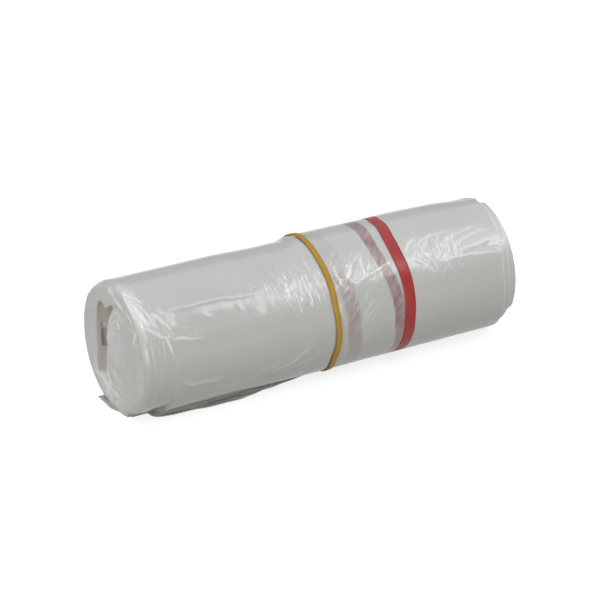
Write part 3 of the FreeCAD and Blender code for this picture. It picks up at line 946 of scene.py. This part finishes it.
def makeSlack():
    bm = sheetGrid(slack["along"], slack["across"])
    u, v = gridPlace(bm)
    ends = slackEdge[0][0], slackEdge[-1][0]
    x = ends[0] + (ends[1] - ends[0]) * u
    edge = np.interp(x, [p[0] for p in slackEdge], [p[1] for p in slackEdge])
    edge += 0.3 * gradientNoise(x / 7, x * 0, 111)
    y = slack["root"] + (edge - slack["root"]) * v
    thickFade = ramp(u, 0.0, 0.08) * (1 - ramp(u, 0.75, 1.0))
    lengthwise = 0.5 + 0.5 * folds(y / 3.1 + 0.5 * gradientNoise(x / 22, y / 6, 112))
    fine = 0.5 + 0.5 * gradientNoise(x / 9, y / 1.6, 113)
    lower = 1 - ramp(v, 0.55, 1.0) * 0.75
    z = slack["thin"] + slack["rise"] * thickFade * (0.65 * lengthwise + 0.35 * fine) * lower
    placeGrid(bm, x, y, z)
    thicken(bm, -slack["thin"])
    makePiece("slackFold", bm, shadedFlapMaterial)


def makeTail():
    bm = sheetGrid(tail["along"], tail["across"])
    u, v = gridPlace(bm)
    half = roll["half"]
    x = -half - 1.2 + (2 * half - tail["inset"] + 0.5) * u
    edge = tail["left"] + (tail["right"] - tail["left"]) * u + 0.3 * gradientNoise(x / 14, x * 0, 121)
    y = tail["root"] + (edge - tail["root"]) * v
    atEnd = np.clip(1 - u / tail["slantEnd"], 0, 1)
    y = y - tail["slantBack"] * (1 - v) * atEnd
    x = x + tail["slantIn"] * ramp(-y, -4, 6) * atEnd
    waves = 0.5 + 0.5 * gradientNoise(x / 16, y / 5, 122)
    z = tail["thin"] + tail["rise"] * ramp(v, 0.3, 0.9) * waves
    placeGrid(bm, x, y, z)
    thicken(bm, -tail["thin"])
    makePiece("looseEnd", bm, tailMaterial)


makeSlack()
makeTail()
print("stage: slack film")


# Camera at the photograph's viewing angle, floor and light

view = {
    "target": (0.0, 0.0, 30.0),
    "azimuth": 30.2,
    "elevation": 25.31,
    "distance": 1129.2,
    "lens": 146.0,                     # mm, on a 36 mm sensor
    "shift": (-3.7 / 600, 3.9 / 600),  # the roll sits a little off the middle of the frame
}


def makeCamera():
    azimuth = math.radians(view["azimuth"])
    elevation = math.radians(view["elevation"])
    forward = Vector((math.sin(azimuth) * math.cos(elevation), math.cos(azimuth) * math.cos(elevation),
                      -math.sin(elevation)))
    data = bpy.data.cameras.new("camera")
    data.lens = view["lens"]
    data.sensor_width = 36
    data.shift_x, data.shift_y = view["shift"]
    data.clip_start = 0.01
    data.clip_end = 20
    camera = bpy.data.objects.new("camera", data)
    camera.location = Vector(view["target"]) * mm - forward * view["distance"] * mm
    camera.rotation_mode = "QUATERNION"
    camera.rotation_quaternion = forward.to_track_quat("-Z", "Y")
    bpy.context.scene.collection.objects.link(camera)
    bpy.context.scene.camera = camera


# a pale studio floor that is white for the camera and keeps the roll's shadow
def makeFloor():
    bm = bmesh.new()
    bmesh.ops.create_grid(bm, x_segments=1, y_segments=1, size=6)
    mesh = bpy.data.meshes.new("floor")
    bm.to_mesh(mesh)
    bm.free()
    floor = bpy.data.objects.new("floor", mesh)
    bpy.context.scene.collection.objects.link(floor)
    material = newMaterial("paleFloor")
    path = addNode(material, "ShaderNodeLightPath")
    # white for the camera and through the loose film, and 0.7 of that in reflections
    mirrored = addNode(material, "ShaderNodeMath", {"operation": "MULTIPLY_ADD", 1: 0.7},
                       {0: path.outputs["Is Glossy Ray"], 2: path.outputs["Is Camera Ray"]})
    seen = addNode(material, "ShaderNodeMath", {"operation": "MAXIMUM"},
                   {0: mirrored.outputs[0], 1: path.outputs["Is Transmission Ray"]})
    plain = addNode(material, "ShaderNodeBsdfDiffuse", {"Color": srgb("#80807E")})
    pale = addNode(material, "ShaderNodeBsdfDiffuse", {"Color": srgb("#B0B0B0")})
    glow = addNode(material, "ShaderNodeEmission", {"Color": srgb("#FFFFFF"), "Strength": 0.76})
    both = addNode(material, "ShaderNodeAddShader", links={0: pale.outputs[0], 1: glow.outputs[0]})
    mixed = addNode(material, "ShaderNodeMixShader",
                    links={0: seen.outputs[0], 1: plain.outputs[0], 2: both.outputs[0]})
    finishMaterial(material, mixed)
    mesh.materials.append(material)


# white behind the roll, and a soft pale sky that lights it
def makeWorld():
    world = bpy.data.worlds.new("studio")
    world.use_nodes = True
    world.node_tree.nodes.clear()
    path = addNode(world, "ShaderNodeLightPath")
    seen = addNode(world, "ShaderNodeMath", {"operation": "MAXIMUM"},
                   {0: path.outputs["Is Camera Ray"], 1: path.outputs["Is Transmission Ray"]})
    soft = addNode(world, "ShaderNodeBackground", {"Color": srgb("#F5F7FA"), "Strength": 0.5})
    white = addNode(world, "ShaderNodeBackground", {"Color": srgb("#FFFFFF"), "Strength": 1.0})
    mixed = addNode(world, "ShaderNodeMixShader",
                    links={0: seen.outputs[0], 1: soft.outputs[0], 2: white.outputs[0]})
    addNode(world, "ShaderNodeOutputWorld", links={"Surface": mixed.outputs[0]})
    bpy.context.scene.world = world


# name, direction from the roll, distance in metres, width, height, watts, colour
softboxes = [
    ("overhead", (0.0, 0.15, 1.0), 1.4, 3.0, 3.0, 17.5, "#F8FAFF"),
    ("front", (-0.28, -1.0, 0.06), 1.6, 1.2, 0.8, 13.4, "#FFFDF6"),
    ("left", (-1.0, -0.2, 0.25), 1.5, 0.8, 0.8, 4.6, "#FFFDF6"),
]

# the small softbox that the creased film mirrors
keyBox = {
    "direction": (0.453, -0.552, 0.70),
    "aim": 45.0,                       # it points at this place along the roll
    "distance": 0.75,                  # metres, and its size too
    "size": (0.20, 0.28),
    "watts": 0.7,
}


def makeLamp(name, target, direction, distance, width, height, watts, colour):
    data = bpy.data.lights.new(name, "AREA")
    data.shape = "RECTANGLE"
    data.size = width
    data.size_y = height
    data.energy = watts
    data.color = srgb(colour)[:3]
    lamp = bpy.data.objects.new(name, data)
    toLamp = Vector(direction).normalized()
    lamp.location = target + toLamp * distance
    lamp.rotation_mode = "QUATERNION"
    lamp.rotation_quaternion = toLamp.to_track_quat("Z", "Y")
    bpy.context.scene.collection.objects.link(lamp)


makeCamera()
makeFloor()
makeWorld()
for name, direction, distance, width, height, watts, colour in softboxes:
    target = Vector(view["target"]) * mm
    makeLamp(name, target, direction, distance, width, height, watts, colour)
keyTarget = Vector((keyBox["aim"], 0, view["target"][2])) * mm
makeLamp("keySoftbox", keyTarget, keyBox["direction"], keyBox["distance"], *keyBox["size"],
         keyBox["watts"], "#FFFFFF")
bpy.context.scene.view_settings.view_transform = "Standard"
print("stage: camera, floor and light")
